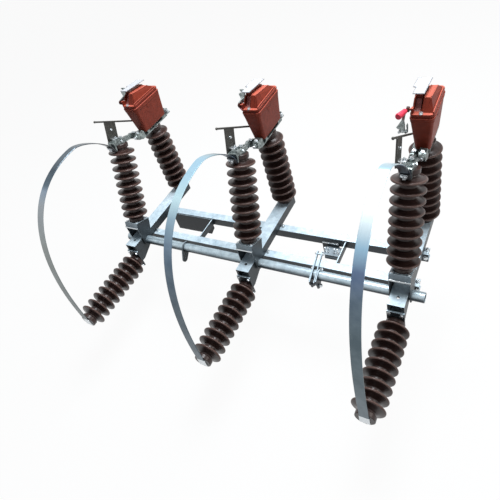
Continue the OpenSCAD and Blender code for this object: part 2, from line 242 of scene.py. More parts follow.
@dataclass(frozen=True)
class GlazedPorcelain(Finish):
    """Brown electrical porcelain, dipped in glaze, lighter towards the rims of its sheds."""

    rim: str = "#7d5b52"

    def mix(self, tree: Tree, coords: Node) -> Socket:
        """Lightens the glaze towards the rims, by the attribute that the turned shape carries."""
        base = super().mix(tree, coords)
        edge = add_node(tree, "Attribute", {"attribute_name": "rim"})
        return mixed(tree, remap(tree, edge.outputs["Fac"], 0.86, 1.0, 0.0, 0.8), base, self.rim)

    def dress(self, tree: Tree, shader: Node, coords: Node) -> None:
        """Gives the glaze its clear glassy coat."""
        coat = {"IOR": 1.45, "Specular IOR Level": 0.35, "Coat Weight": 0.08, "Coat Roughness": 0.12}
        for key, value in coat.items():
            shader.inputs[key].default_value = value


@dataclass(frozen=True)
class PressMoulding(Finish):
    """Press-moulded compound: half gloss, with painted light on the faces that look up."""

    # Colour of the painted light on faces that look up; none where empty.
    painted_top_light: str = ""

    def mix(self, tree: Tree, coords: Node) -> Socket:
        """Paints light on the faces that look up."""
        base = super().mix(tree, coords)
        if not self.painted_top_light:
            return base
        # Painted light: the more a face looks up, the more it takes that colour.
        lean = add_node(tree, "SeparateXYZ", {0: coords.outputs["Normal"]})
        return mixed(tree, remap(tree, lean.outputs["Z"], 0.60, 0.95), base, self.painted_top_light)

    def dress(self, tree: Tree, shader: Node, coords: Node) -> None:
        """Dulls the resin skin."""
        shader.inputs["IOR"].default_value = 1.45
        shader.inputs["Specular IOR Level"].default_value = 0.22


@dataclass(frozen=True)
class RolledStrip(Finish):
    """Tinned strip rolled along its length, with painted light and shade that change along the height of its
    bow.
    """

    line_mm: float = 1.2
    # Painted shade near the contact: its tint, and the y where it starts and where it is full.
    painted_shade_tint: str = "#3f4b58"
    painted_shade_from_y: float = -0.15
    painted_shade_full_y: float = -0.03
    patchiness: float = 0.15
    # Painted light and shade by height, as stops of height and colour.
    painted_light_by_height: Stops = (
        (-0.04, "#40464a"), (0.35, "#434a4f"), (0.52, "#4b5765"), (0.62, "#62758a"),
        (0.69, "#93aebf"), (0.735, "#cfeef6"), (0.77, "#a9cfe4"))

    def by_height(self, tree: Tree, height: Socket) -> Socket:
        """Paints light and shade on the strip by its height, and returns the colour socket."""
        low, high = self.painted_light_by_height[0][0], self.painted_light_by_height[-1][0]
        ramp = add_node(tree, "ValToRGB", {0: remap(tree, height, low, high)})
        stops = ramp.color_ramp.elements
        stops[0].color = srgb(self.painted_light_by_height[0][1])
        stops[1].color = srgb(self.painted_light_by_height[-1][1])
        for z, code in self.painted_light_by_height[1:-1]:
            stops.new((z - low) / (high - low)).color = srgb(code)
        return ramp.outputs[0]

    def mix(self, tree: Tree, coords: Node) -> Socket:
        """Lays patches and rolling lines over the painted light and shade by height, and paints shade on the
        strip near the contact.
        """
        place = add_node(tree, "SeparateXYZ", {0: coords.outputs["Object"]})
        # Painted light and shade by height.
        painted_light_by_height = self.by_height(tree, place.outputs["Z"])
        painted_and_patchy = mixed(tree, self.patchiness, painted_light_by_height, super().mix(tree, coords))
        # Painted shade darkens the strip near the contact.
        near_contact_share = remap(tree, place.outputs["Y"], self.painted_shade_from_y, self.painted_shade_full_y)
        base = mixed(tree, near_contact_share, painted_and_patchy, self.painted_shade_tint)
        lines = add_node(tree, "TexNoise", {"noise_dimensions": "1D", "Scale": 1000 / self.line_mm,
                                            "Detail": 2.0, "W": place.outputs["X"]})
        return shaded(tree, base, remap(tree, lines.outputs["Fac"], 0.0, 1.0, 0.80, 1.10))


# In each zinc finish the upright colour is painted shade on upright faces.
ZINC = HotDipZinc("hot_dip_zinc", "#bdd3e0", "#dcedf7", 0.42, 0.25, 60, 1.2, 0.15)
TUBE_ZINC = HotDipZinc("drawn_tube_zinc", "#a9bdc8", "#cddde5", 0.32, 0.6, 90, 1.2, 0.1, upright="#2b343b")
# Darker zinc: painted shade on the drive bracket and the floor inside each arm's nose; the gusset and crank
# plate take the same darker tone.
DARK_ZINC = HotDipZinc("darker_zinc_painted_shade", "#7f8b93", "#9aa7af", 0.5, 0.3, 45, 1.2, 0.2, upright="#24292d")
GLAZE = GlazedPorcelain("brown_glaze", "#2a1d1b", "#3a2824", 0.32, 0.0, 70, 6, 0.05, rim="#5c443d")
# The last colour of each compound is painted light on faces that look up.
COMPOUND = PressMoulding("red_brown_compound", "#7d3020", "#6d2819", 0.50, 0.0, 25, 1.6, 0.12,
                         painted_top_light="#b05a4c")
LID_COMPOUND = PressMoulding("red_brown_lid", "#7b2d1c", "#6b2416", 0.46, 0.0, 25, 1.6, 0.12,
                             painted_top_light="#b85c4a")
# Paler compound for the hump's scooped foot: painted sheen and light on a face that looks up and forward.
PALE_COMPOUND = PressMoulding("compound_painted_sheen", "#b0706c", "#9c5c56", 0.42, 0.0, 18, 1.6, 0.12)
LEVER_COMPOUND = PressMoulding("red_brown_lever", "#4a1f18", "#3e1913", 0.42, 0.0, 25, 1.6, 0.12)
RED_KNOB = PressMoulding("red_knob_moulding", "#e8465c", "#d93b52", 0.35, 0.0, 18, 2, 0.05)
TINNED = ("#7f9cb0", "#bcd6e6", 0.30, 0.9, 60, 1.5, 0.05)
# Each band has its own stops of painted light and shade; the left one also has its own painted shade near the
# contact.
STRIPS: dict[str, RolledStrip] = {
    "left": RolledStrip("left_strip_painted_light", *TINNED, painted_shade_tint="#5c6062", painted_light_by_height=(
        (-0.04, "#4b4c46"), (0.25, "#70726c"), (0.50, "#8e908a"), (0.66, "#9a9da0"),
        (0.705, "#8794a4"), (0.72, "#3c4b58"), (0.75, "#262d38"), (0.77, "#4e555c"))),
    "mid": RolledStrip("mid_strip_painted_light", *TINNED),
    "right": RolledStrip("right_strip_painted_light", *TINNED, painted_light_by_height=(
        (-0.04, "#4c555a"), (0.30, "#454e50"), (0.50, "#4a5458"), (0.62, "#4d5a68"),
        (0.70, "#57688a"), (0.755, "#9cc3dc"), (0.80, "#e6f4f8"), (0.842, "#b9dcea")))}
CASTING = Finish("tinned_casting", "#4d5555", "#a3adab", 0.26, 0.7, 12, 2.4, 0.5)
FLAT_BAR = Finish("dull_flat_bar", "#4a4945", "#3a3936", 0.5, 0.5, 14, 1.2, 0.2)
DARK_ROD = Finish("darkened_rod", "#2a2a2c", "#3a3a3d", 0.35, 0.6, 8, 1.0, 0.15)
GREY_CAST = Finish("grey_cast_lug", "#5d6665", "#b4bcba", 0.3, 0.6, 10, 1.8, 0.4)
# Bright zinc of the bolts; on the rocker lips and the strip on the drive bracket's top edge it is a painted
# highlight.
BRIGHT_ZINC = Finish("bright_zinc_and_painted_highlight", "#dfe4e7", "#c8ced2", 0.22, 0.8, 5, 0.8, 0.1)
TAG_EDGE = Finish("tag_edge", "#8b8c90", "#808185", 0.45, 0.0, 30, 2.0, 0.03)
WHITE_PLATE = Finish("white_enamel_plate", "#c2c3c8", "#b8babf", 0.35, 0.0, 30, 2.0, 0.03)


# ---------------------------------------------------------------- shapes

@dataclass
class Shape:
    """Collects closed shells, each made by bmesh operators, into one piece."""

    place: Matrix = field(default_factory=lambda: Matrix.Identity(4))
    mesh: bmesh.types.BMesh = field(default_factory=bmesh.new)

    def take(self, part: bmesh.types.BMesh, local: Matrix | None = None) -> None:
        """Joins one shell to the piece.

        Args:
            part: the shell, which is used up.
            local: where the shell stands before the piece's own place.
        """
        bmesh.ops.transform(part, matrix=self.place @ (local or Matrix.Identity(4)), verts=part.verts)
        bmesh.ops.recalc_face_normals(part, faces=part.faces)
        data = bpy.data.meshes.new("shell")
        part.to_mesh(data)
        part.free()
        self.mesh.from_mesh(data)
        bpy.data.meshes.remove(data)

    @staticmethod
    def round_edges(part: bmesh.types.BMesh, edges: Iterable[bmesh.types.BMEdge], width: float,
                    segments: int) -> None:
        """Bevels the edges given, where the width is more than nothing."""
        if width > 0:
            bmesh.ops.bevel(part, geom=list(edges), offset=width, offset_type="OFFSET", affect="EDGES",
                            segments=segments, profile=0.5, material=-1, clamp_overlap=True)

    @staticmethod
    def sharp(part: bmesh.types.BMesh, angle: float = 30) -> list[bmesh.types.BMEdge]:
        """Returns the edges that turn by more than the angle in degrees."""
        least = math.radians(angle)
        return [e for e in part.edges if len(e.link_faces) == 2 and e.calc_face_angle(0) > least]

    @staticmethod
    def extruded(outline: Outline, x: float, width: float) -> bmesh.types.BMesh:
        """Extrudes an outline in Y and Z along X.

        Args:
            outline: its corners as y and z.
            x: middle of its thickness.
            width: its thickness.

        Returns:
            The closed shell, with its edges still sharp.
        """
        part = bmesh.new()
        face = part.faces.new([part.verts.new((x - width / 2, y, z)) for y, z in outline])
        moved = bmesh.ops.extrude_face_region(part, geom=[face])["geom"]
        far = [g for g in moved if isinstance(g, bmesh.types.BMVert)]
        bmesh.ops.translate(part, vec=(width, 0, 0), verts=far)
        bmesh.ops.recalc_face_normals(part, faces=part.faces)
        return part

    def block(self, low: Point, high: Point, edge: float = 0.0015, corner: float = 0.0,
              top: tuple[float, float, float, float] | None = None) -> None:
        """Adds a block with rounded edges.

        Args:
            low: lowest corner.
            high: highest corner.
            edge: radius of all edges.
            corner: radius of the four upright corners, if larger.
            top: low x, high x, low y and high y of its top, if it tapers.
        """
        part = bmesh.new()
        bmesh.ops.create_cube(part, size=1)
        for v in part.verts:
            far = [c > 0 for c in v.co]
            flat = top if top and far[2] else (low[0], high[0], low[1], high[1])
            v.co = Vector((flat[far[0]], flat[2 + far[1]], high[2] if far[2] else low[2]))
        if corner > 0:
            half = (high[2] - low[2]) / 2
            upright = [e for e in part.edges if abs(e.verts[0].co.z - e.verts[1].co.z) > half]
            self.round_edges(part, upright, corner, 6)
        self.round_edges(part, self.sharp(part, 40), edge, 3)
        self.take(part)

    def prism(self, outline: Outline, x: float, width: float, edge: float = 0.0012,
              local: Matrix | None = None, segments: int = 2) -> None:
        """Adds a plate cut to an outline in Y and Z, centred on x.

        Args:
            outline: its corners as y and z.
            x: middle of its thickness.
            width: its thickness along X.
            edge: radius of its edges.
            local: where the plate stands.
            segments: faces round each edge.
        """
        part = self.extruded(outline, x, width)
        self.round_edges(part, self.sharp(part), edge, segments)
        self.take(part, local)

    def hull(self, corners: Iterable[Point], edge: float) -> None:
        """Adds the rounded closed solid round some corners.

        Args:
            corners: its corners.
            edge: radius of its edges.
        """
        part = bmesh.new()
        for corner in corners:
            part.verts.new(corner)
        made = bmesh.ops.convex_hull(part, input=part.verts, use_existing_faces=False)
        spare = [g for g in made["geom_interior"] + made["geom_unused"] if isinstance(g, bmesh.types.BMVert)]
        bmesh.ops.delete(part, geom=list(set(spare)), context="VERTS")
        bmesh.ops.dissolve_limit(part, angle_limit=math.radians(1), verts=part.verts, edges=part.edges)
        self.round_edges(part, self.sharp(part, 8), edge, 3)
        self.take(part)

    def rod(self, start: Point, end: Point, radius: float, end_radius: float | None = None,
            edge: float = 0.0008, sides: int = 28, local: Matrix | None = None) -> None:
        """Adds a round bar, or a taper, between two points.

        Args:
            start: middle of its first end.
            end: middle of its other end.
            radius: radius at the first end.
            end_radius: radius at the other end, if it differs.
            edge: radius of its end edges.
            sides: faces round it.
            local: where the bar stands.
        """
        a, b = Vector(start), Vector(end)
        part = bmesh.new()
        bmesh.ops.create_cone(part, cap_ends=True, segments=sides, radius1=radius,
                              radius2=radius if end_radius is None else end_radius, depth=(b - a).length)
        self.round_edges(part, [e for e in part.edges if e.calc_face_angle(0) > math.radians(50)], edge, 2)
        turn = (b - a).to_track_quat("Z", "Y").to_matrix().to_4x4()
        self.take(part, (local or Matrix.Identity(4)) @ Matrix.Translation((a + b) / 2) @ turn)

    def turned(self, profile: Outline, steps: int, local: Matrix | None = None) -> None:
        """Adds a turned shell.

        Args:
            profile: radius and height, from the axis round to the axis again.
            steps: faces round it.
            local: where its axis stands.
        """
        part = bmesh.new()
        verts = [part.verts.new((r, 0, z)) for r, z in profile]
        edges = [part.edges.new(pair) for pair in zip(verts, verts[1:])]
        bmesh.ops.spin(part, geom=verts + edges, cent=(0, 0, 0), axis=(0, 0, 1), dvec=(0, 0, 0),
                       angle=2 * math.pi, steps=steps, use_merge=True, use_duplicate=False)
        bmesh.ops.remove_doubles(part, verts=part.verts, dist=1e-6)
        self.take(part, local)

    def bolt(self, at: Point, facing: Vector, size: float, tail: float = 0.0) -> None:
        """Adds a washer with a hexagon head, and the bolt's end where it has a nut.

        Args:
            at: middle of the face that the washer lies on.
            facing: direction that the head looks in.
            size: thread diameter.
            tail: length of the thread that stands out of the nut.
        """
        turn = Matrix.Translation(at) @ facing.to_track_quat("Z", "Y").to_matrix().to_4x4()
        thick, head = 0.18 * size, 0.68 * size
        self.rod((0, 0, 0), (0, 0, thick), 1.05 * size, edge=0.0004, sides=20, local=turn)
        part = bmesh.new()
        bmesh.ops.create_cone(part, cap_ends=True, segments=6, radius1=0.92 * size, radius2=0.92 * size,
                              depth=head)
        level = [e for e in part.edges if abs(e.verts[0].co.z - e.verts[1].co.z) < 1e-6]
        self.round_edges(part, level, 0.08 * size, 2)
        self.take(part, turn @ Matrix.Translation((0, 0, thick + head / 2)))
        if tail > 0:
            nut_top = thick + head
            self.rod((0, 0, nut_top - 0.001), (0, 0, nut_top + tail), size / 2, edge=0.0007, sides=16,
                     local=turn)

    def finish(self, name: str, finish: Finish, body: str, slot: Slot, replaces: Sequence[str] = (),
               rides: bool = True) -> bpy.types.Object:
        """Turns the shells into a finished piece; what it takes and returns is told at settle."""
        data = bpy.data.meshes.new(name)
        self.mesh.to_mesh(data)
        self.mesh.free()
        return settle(name, data, finish, body, replaces, rides)


def settle(name: str, data: bpy.types.Mesh, finish: Finish, body: str,
           replaces: Sequence[str] = (), rides: bool = True) -> bpy.types.Object:
    """Makes an object of a mesh, dresses it and sets it on its body.

    Args:
        name: name of the piece.
        data: its mesh.
        finish: its surface.
        body: CAD body that it rides on.
        replaces: CAD nodes that it stands for.
        rides: whether it rides on the body now.

    Returns:
        The finished object.
    """
    data.shade_smooth()
    data.set_sharp_from_angle(angle=math.radians(38))
    data.materials.clear()
    data.materials.append(finish.material())
    piece = bpy.data.objects.new(name, data)
    bpy.context.scene.collection.objects.link(piece)
    even = piece.modifiers.new("even_normals", "WEIGHTED_NORMAL")
    even.keep_sharp = True
    if rides:
        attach(piece, body)
    if replaces:
        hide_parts(*replaces)
    LOG.info("%s: %d faces on %s", name, len(data.polygons), body)
    return piece


def softened(node: str, finish: Finish, body: str, edge: float = 0.0012,
             segments: int = 2) -> bpy.types.Object:
    """Stands for a CAD node with a merged copy whose edges are rounded.

    Args:
        node: CAD node to copy.
        finish: its surface.
        body: CAD body that it rides on.
        edge: radius of its edges.
        segments: faces round each edge.

    Returns:
        The finished object.
    """
    part = bmesh.new()
    part.from_mesh(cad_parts[node].data)
    bmesh.ops.remove_doubles(part, verts=part.verts, dist=2e-5)
    bmesh.ops.dissolve_limit(part, angle_limit=math.radians(1), verts=part.verts, edges=part.edges)
    Shape.round_edges(part, Shape.sharp(part, 28), edge, segments)
    data = bpy.data.meshes.new(node + "_look")
    part.to_mesh(data)
    part.free()
    return settle(node + "_look", data, finish, body, [node])


def rocking_top(x: float) -> Matrix:
    """Returns the place of the top of the rocking post of the phase at x."""
    return (Matrix.Translation((x, SHAFT_Y, SHAFT_Z)) @ Matrix.Rotation(ROCK_LEAN, 4, "X")
            @ Matrix.Translation((0, -POST_FRONT, ROCK_REACH + POST_HEIGHT)))


def rocking_foot(x: float) -> Matrix:
    """Returns the place of the foot of the rocking post of the phase at x."""
    return rocking_top(x) @ Matrix.Translation((0, 0, -POST_HEIGHT))


# ---------------------------------------------------------------- sub-assemblies

class Assembly:
    """What each of the three phases has."""

    def build_phase(self, phase: str, x: float) -> None:
        """Builds what one phase has.

        Args:
            phase: name of the phase.
            x: its place along the channels.
        """
        raise NotImplementedError

    def build(self) -> None:
        """Builds the three phases in turn."""
        for phase, x in PHASES.items():
            self.build_phase(phase, x)


@dataclass
class PostInsulator(Assembly):
    """Nine-shed post insulator turned in one piece."""

    core: float = 0.033
    shed: float = 0.069
    neck: float = 0.0414
    neck_length: float = 0.019
    shoulder: float = 0.0225
    base: float = 0.045
    pitch: float = 0.045
    sheds: int = 9
    rim_radius: float = 0.0052
    edge: float = 0.002

    def one_shed(self, z: float) -> list[tuple[float, float]]:
        """Outline of the shed whose rim is at z: hollow underside, round rim and sloping top."""
        core, shed, r = self.core, self.shed, self.rim_radius
        under = [(core, z - 0.017), (core + 0.0015, z - 0.0135), (core + 0.006, z - 0.0105),
                 (shed - 0.030, z - 0.0088), (shed - 0.010, z - 0.0072)]
        turns = (math.radians(degrees) for degrees in range(-70, 81, 25))
        rim = [(shed - r + r * math.cos(a), z - 0.0018 + r * math.sin(a)) for a in turns]
        over = [(shed - 0.014, z + 0.0052), (shed - 0.024, z + 0.0078), (core + 0.006, z + 0.0122),
                (core + 0.0015, z + 0.0150), (core, z + 0.0195)]
        return under + rim + over

    def profile(self) -> list[tuple[float, float]]:
        """Outline of one post from its foot to its top, as radius and height."""
        foot = [(0.0, 0.0), (self.neck - self.edge, 0.0), (self.neck, self.edge),
                (self.neck, self.neck_length), (self.neck - 0.003, self.shoulder)]
        body = [point for k in range(self.sheds) for point in self.one_shed(self.base + k * self.pitch)]
        top = 2 * self.base + (self.sheds - 1) * self.pitch
        head = [(radius, top - z) for radius, z in reversed(foot)]
        return foot + body + head

    def post(self, name: str, place: Matrix, body: str) -> None:
        """Turns one post.

        Args:
            name: CAD node that it stands for.
            place: where its foot stands.
            body: CAD body that it rides on.
        """
        shape = Shape(place)
        shape.turned(self.profile(), 72)
        piece = shape.finish(name + "_look", GLAZE, body, Slot.PORCELAIN, [name])
        back = place.inverted()
        rim = piece.data.attributes.new("rim", "FLOAT", "POINT")
        for v in piece.data.vertices:
            local = back @ v.co
            rim.data[v.index].value = math.hypot(local.x, local.y) / self.shed

    def build_phase(self, phase: str, x: float) -> None:
        """Turns the three posts of one phase."""
        self.post(f"rocking_insulator_{phase}", rocking_foot(x), "shaft")
        self.post(f"fixed_insulator_{phase}", Matrix.Translation((x, FIXED_Y, ARM_TOP)), "frame")
        forward = Matrix.Translation((x, LINE_Y, LINE_Z)) @ Matrix.Rotation(math.radians(90), 4, "X")
        self.post(f"line_insulator_{phase}", forward, "frame")


@dataclass
class FrameSteel(Assembly):
    """Channels, cross arms and what is bolted to them."""

    end_plate_y: float = -0.191
    rear_y: float = 0.194
    flange_z: float = 0.050
    clamp_x: float = 0.048
    clamp_y: float = 0.006
    nose_half: float = 0.023
    channel_end_x: float = 0.797
    web_y: float = -0.0225

    def build_phase(self, phase: str, x: float) -> None:
        """Dresses one cross arm and adds its bolts and the floor inside its nose."""
        softened(f"arm_{phase}", ZINC, "frame", 0.0016)
        bolts = Shape()
        for side in (-1, 1):
            for y in (0.0, self.rear_y):
                at = (x + side * self.clamp_x, y + self.clamp_y, self.flange_z)
                bolts.bolt(at, Axis.UP.value, 0.010, 0.006)
            bolts.bolt((x + side * 0.027, self.end_plate_y, 0.050), Axis.FRONT.value, 0.008)
            bolts.bolt((x + side * 0.031, self.end_plate_y, -0.045), Axis.FRONT.value, 0.006)
        bolts.finish(f"arm_bolts_{phase}", BRIGHT_ZINC, "frame", Slot.STEEL)
        # The floor plate in the nose is darker zinc: painted shade inside the arm.
        nose = Shape()
        nose.block((x - self.nose_half, -0.1825, 0.044), (x + self.nose_half, -0.110, 0.048), 0.0005)
        nose.finish(f"arm_nose_floor_{phase}", DARK_ZINC, "frame", Slot.STEEL)

    def build(self) -> None:
        """Dresses the rolled steel and adds its bolts."""
        for node in ("channel_front", "channel_rear", "cross_bar_left", "cross_bar_right"):
            softened(node, ZINC, "frame", 0.0018)
        softened("gusset_plate", DARK_ZINC, "frame", 0.0008)
        super().build()
        ends = Shape()
        for side in (-1, 1):
            for y in (self.web_y, self.rear_y + self.web_y):
                ends.bolt((side * self.channel_end_x, y, 0.027), Axis.FRONT.value, 0.010)
        ends.finish("channel_end_bolts", BRIGHT_ZINC, "frame", Slot.STEEL)


@dataclass
class ShaftGear(Assembly):
    """Operating shaft with its crank, rocking brackets, drive lever and the bracket behind it."""

    half_foot: float = 0.046
    lip_front: float = -0.050
    lip_low: float = -0.034
    foot_bolt: tuple[float, float] = (0.036, 0.040)
    guide_y: float = 0.126
    guide_low: float = -0.029
    guide_high: float = 0.0285
    clamp_legs: tuple[float, ...] = (-0.038, -0.022, 0.011, 0.027)

    def build_phase(self, phase: str, x: float) -> None:
        """Dresses one rocking bracket, with its rolled lip and the bolts of the post's foot."""
        softened(f"rocker_{phase}", ZINC, "shaft", 0.0014)
        # The lip is bright zinc: a painted highlight along the lower edge of the bracket's front plate.
        lip = Shape(rocking_foot(x))
        lip.block((-self.half_foot, self.lip_front - 0.005, self.lip_low),
                  (self.half_foot, self.lip_front + 0.001, self.lip_low + 0.007), 0.0010)
        lip.finish(f"rocker_lip_{phase}", BRIGHT_ZINC, "shaft", Slot.STEEL)
        bolts = Shape(rocking_foot(x))
        for side in (-1, 1):
            for end in (-1, 1):
                at = (side * self.foot_bolt[0], end * self.foot_bolt[1], 0.0)
                bolts.bolt(at, Axis.UP.value, 0.007)
        bolts.finish(f"rocker_bolts_{phase}", BRIGHT_ZINC, "shaft", Slot.STEEL)

    def drive(self) -> None:
        """Dresses the drive lever with its bolts, and the bracket with the clamps of its guide tube."""
        softened("drive_lever", ZINC, "shaft", 0.0008)
        place = Matrix.Translation((DRIVE_X, SHAFT_Y, SHAFT_Z)) @ Matrix.Rotation(DRIVE_LEAN, 4, "X")
        bolts = Shape(place)
        for side, facing in ((-1, Axis.LEFT.value), (1, Axis.RIGHT.value)):
            bolts.bolt((side * 0.0185, 0.028, 0.010), facing, 0.009, 0.004)
            bolts.bolt((side * 0.0230, -0.040, -0.030), facing, 0.010, 0.003)
            bolts.bolt((side * 0.0150, 0.096, 0.0304), facing, 0.007, 0.003)
        bolts.finish("drive_lever_bolts", BRIGHT_ZINC, "shaft", Slot.STEEL)
        # The bracket is darker zinc: painted shade on a plate that stands in shadow.
        softened("drive_bracket", DARK_ZINC, "frame", 0.0012)
        clamps = Shape()
        for leg in self.clamp_legs:
            x = DRIVE_X + leg
            clamps.rod((x, self.guide_y, self.guide_low), (x, self.guide_y, self.guide_high), 0.0039)
            clamps.bolt((x, self.guide_y, -0.002), Axis.UP.value, 0.0065)
        # Thin bright zinc cap along the top edge of the bracket's back plate: a painted highlight.
        clamps.block((0.2835, 0.1630, 0.0170), (0.3725, 0.1722, 0.0228), 0.0015)
        clamps.finish("guide_clamps", BRIGHT_ZINC, "frame", Slot.STEEL)

    def build(self) -> None:
        """Dresses what turns with the shaft, and the drive."""
        softened("operating_shaft", TUBE_ZINC, "shaft", 0.0008)
        softened("crank_plate", DARK_ZINC, "shaft", 0.0008)
        self.drive()
        super().build()


@dataclass
class MovingContact(Assembly):
    """Cast head of a rocking post with its knife, and the flat bar that carries the arcing rod."""

    clamp: Outline = (
        (-0.0765, -0.0045), (-0.0735, -0.0020), (-0.0674, -0.0068), (-0.0622, -0.0123), (-0.0526, -0.0294),
        (-0.0545, -0.0320), (-0.0585, -0.0310), (-0.0664, -0.0159), (-0.0710, -0.0109))
    clamp_x: float = -0.002
    clamp_width: float = 0.040
    clamp_facing: Point = (0, -0.8, -0.6)
    clamp_bolts: tuple[Point, ...] = (
        (-0.011, -0.0715, -0.0102), (0.002, -0.0695, -0.0125), (-0.004, -0.0620, -0.0245))
    strap_low: Point = (-0.0455, -0.0185, 0.0195)
    strap_high: Point = (-0.0105, 0.0185, 0.0258)

    def build_phase(self, phase: str, x: float) -> None:
        """Builds the head of one phase."""
        top = rocking_top(x)
        softened(f"moving_contact_{phase}", CASTING, "shaft", 0.0024, 3)
        softened(f"arcing_arm_{phase}", FLAT_BAR, "shaft", 0.0008)
        clamp = Shape(top)
        clamp.prism(self.clamp, self.clamp_x, self.clamp_width, 0.001)
        clamp.finish(f"band_clamp_{phase}", DARK_ROD, "shaft", Slot.CONTACT)
        bright = Shape(top)
        for at in self.clamp_bolts:
            bright.bolt(at, Vector(self.clamp_facing).normalized(), 0.007)
        bright.block(self.strap_low, self.strap_high, 0.0012)
        bright.bolt((0.002, 0.012, 0.028), Axis.UP.value, 0.009)
        bright.bolt((-0.022, 0.0, self.strap_high[2]), Axis.UP.value, 0.007, 0.004)
        bright.bolt((0.023, -0.006, 0.014), Axis.RIGHT.value, 0.006)
        bright.bolt((-0.042, 0.000, 0.070), Axis.RIGHT.value, 0.006)
        bright.finish(f"contact_bolts_{phase}", BRIGHT_ZINC, "shaft", Slot.CONTACT)


@dataclass
class FlexibleBand(Assembly):
    """Laminated band that hangs in a bow from the moving contact to the line post."""

    width: float = 0.038
    thickness: float = 0.004
    start: tuple[float, float] = (0.033, 0.604)
    lead: tuple[float, float] = (0.0374, 0.660)
    top: tuple[float, float] = (-0.179, 0.768)
    lean: tuple[float, float] = (0.070, 0.404)
    down: tuple[float, float] = (-0.648, 0.352)
    foot: tuple[float, float] = (-0.6433, 0.015)
    below_foot: float = 0.05
    rises: dict[str, float] = field(default_factory=lambda: {"left": 0.0, "mid": 0.0, "right": 0.074})

    @staticmethod
    def curve(a: Vector, b: Vector, c: Vector, d: Vector, t: float) -> Vector:
        """Point at t of a cubic curve."""
        return (1 - t) ** 3 * a + 3 * (1 - t) ** 2 * t * b + 3 * (1 - t) * t * t * c + t ** 3 * d

    def line(self, rise: float) -> list[Vector]:
        """Middle line of a band in Y and Z whose bow is higher by the rise."""
        start, lead, down, foot = (Vector(p) for p in (self.start, self.lead, self.down, self.foot))
        top = Vector(self.top) + Vector((-0.6 * rise, rise))
        behind, ahead = (top + Vector((reach, 0)) for reach in (self.lean[0], -self.lean[1]))
        first = [self.curve(start, lead, behind, top, i / 28) for i in range(28)]
        second = [self.curve(top, ahead, down, foot, i / 56) for i in range(57)]
        return first + second + [foot - Vector((0, self.below_foot))]

    def outline(self, points: list[Vector]) -> Outline:
        """Outline of the strip whose middle line is given."""
        sides: list[Vector] = []
        for i in range(len(points)):
            along = points[min(i + 1, len(points) - 1)] - points[max(i - 1, 0)]
            along.normalize()
            sides.append(Vector((-along.y, along.x)) * self.thickness / 2)
        upper = [tuple(p + side) for p, side in zip(points, sides)]
        lower = [tuple(p - side) for p, side in zip(points, sides)]
        return upper + lower[::-1]

    def build_phase(self, phase: str, x: float) -> None:
        """Builds one band, bowed from the moving contact to the line post, and the plate at its foot."""
        part = Shape.extruded(self.outline(self.line(self.rises[phase])), x, self.width)
        level = [e for e in part.edges if abs(e.verts[0].co.x - e.verts[1].co.x) < 1e-6]
        Shape.round_edges(part, [e for e in level if e.calc_face_angle(0) > 0.9], 0.0008, 1)
        shape = Shape()
        shape.take(part)
        piece = shape.finish(f"band_{phase}_look", STRIPS[phase], "frame", Slot.BAND, [f"band_{phase}"],
                             rides=False)
        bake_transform(piece)
        ends = Shape()
        ends.block((x - 0.0205, -0.6457, -0.036), (x + 0.0205, -0.6400, 0.012), 0.0008)
        ends.finish(f"band_end_plate_{phase}", BRIGHT_ZINC, "frame", Slot.CONTACT)


@dataclass
class FixedContact(Assembly):
    """Plate under the chamber with the jaw in front and the line terminal behind."""

    stud_y: float = 0.491
    front_bolts: tuple[Point, ...] = ((0.020, 0.214, 0.0455), (-0.013, 0.216, 0.046))
    facing: Vector = field(default_factory=lambda: Vector((0, -0.35, 1)).normalized())

    def build_phase(self, phase: str, x: float) -> None:
        """Builds the fixed contact of one phase."""
        softened(f"fixed_contact_{phase}", CASTING, "frame", 0.0018, 3)
        bolts = Shape(Matrix.Translation((x, 0, FIXED_TOP)))
        for stud_x in (0.0, 0.018):
            for stud_z in (0.006, 0.0165):
                bolts.bolt((stud_x, self.stud_y, stud_z), Axis.UP.value, 0.010)
        for at in self.front_bolts:
            bolts.bolt(at, self.facing, 0.008)
        bolts.bolt((0.020, 0.1872, 0.031), Axis.FRONT.value, 0.008)
        bolts.finish(f"terminal_bolts_{phase}", BRIGHT_ZINC, "frame", Slot.CONTACT)


@dataclass(frozen=True)
class Rim:
    """Level rectangle: low x, high x, low y and high y."""

    sides: tuple[float, float, float, float]

    def slab(self, proud: float, low_z: float, high_z: float) -> tuple[Point, Point]:
        """Returns the two corners of a slab.

        Args:
            proud: how far it stands out of the rectangle.
            low_z: height of its underside.
            high_z: height of its top.
        """
        x0, x1, y0, y1 = self.sides
        return (x0 - proud, y0 - proud, low_z), (x1 + proud, y1 + proud, high_z)


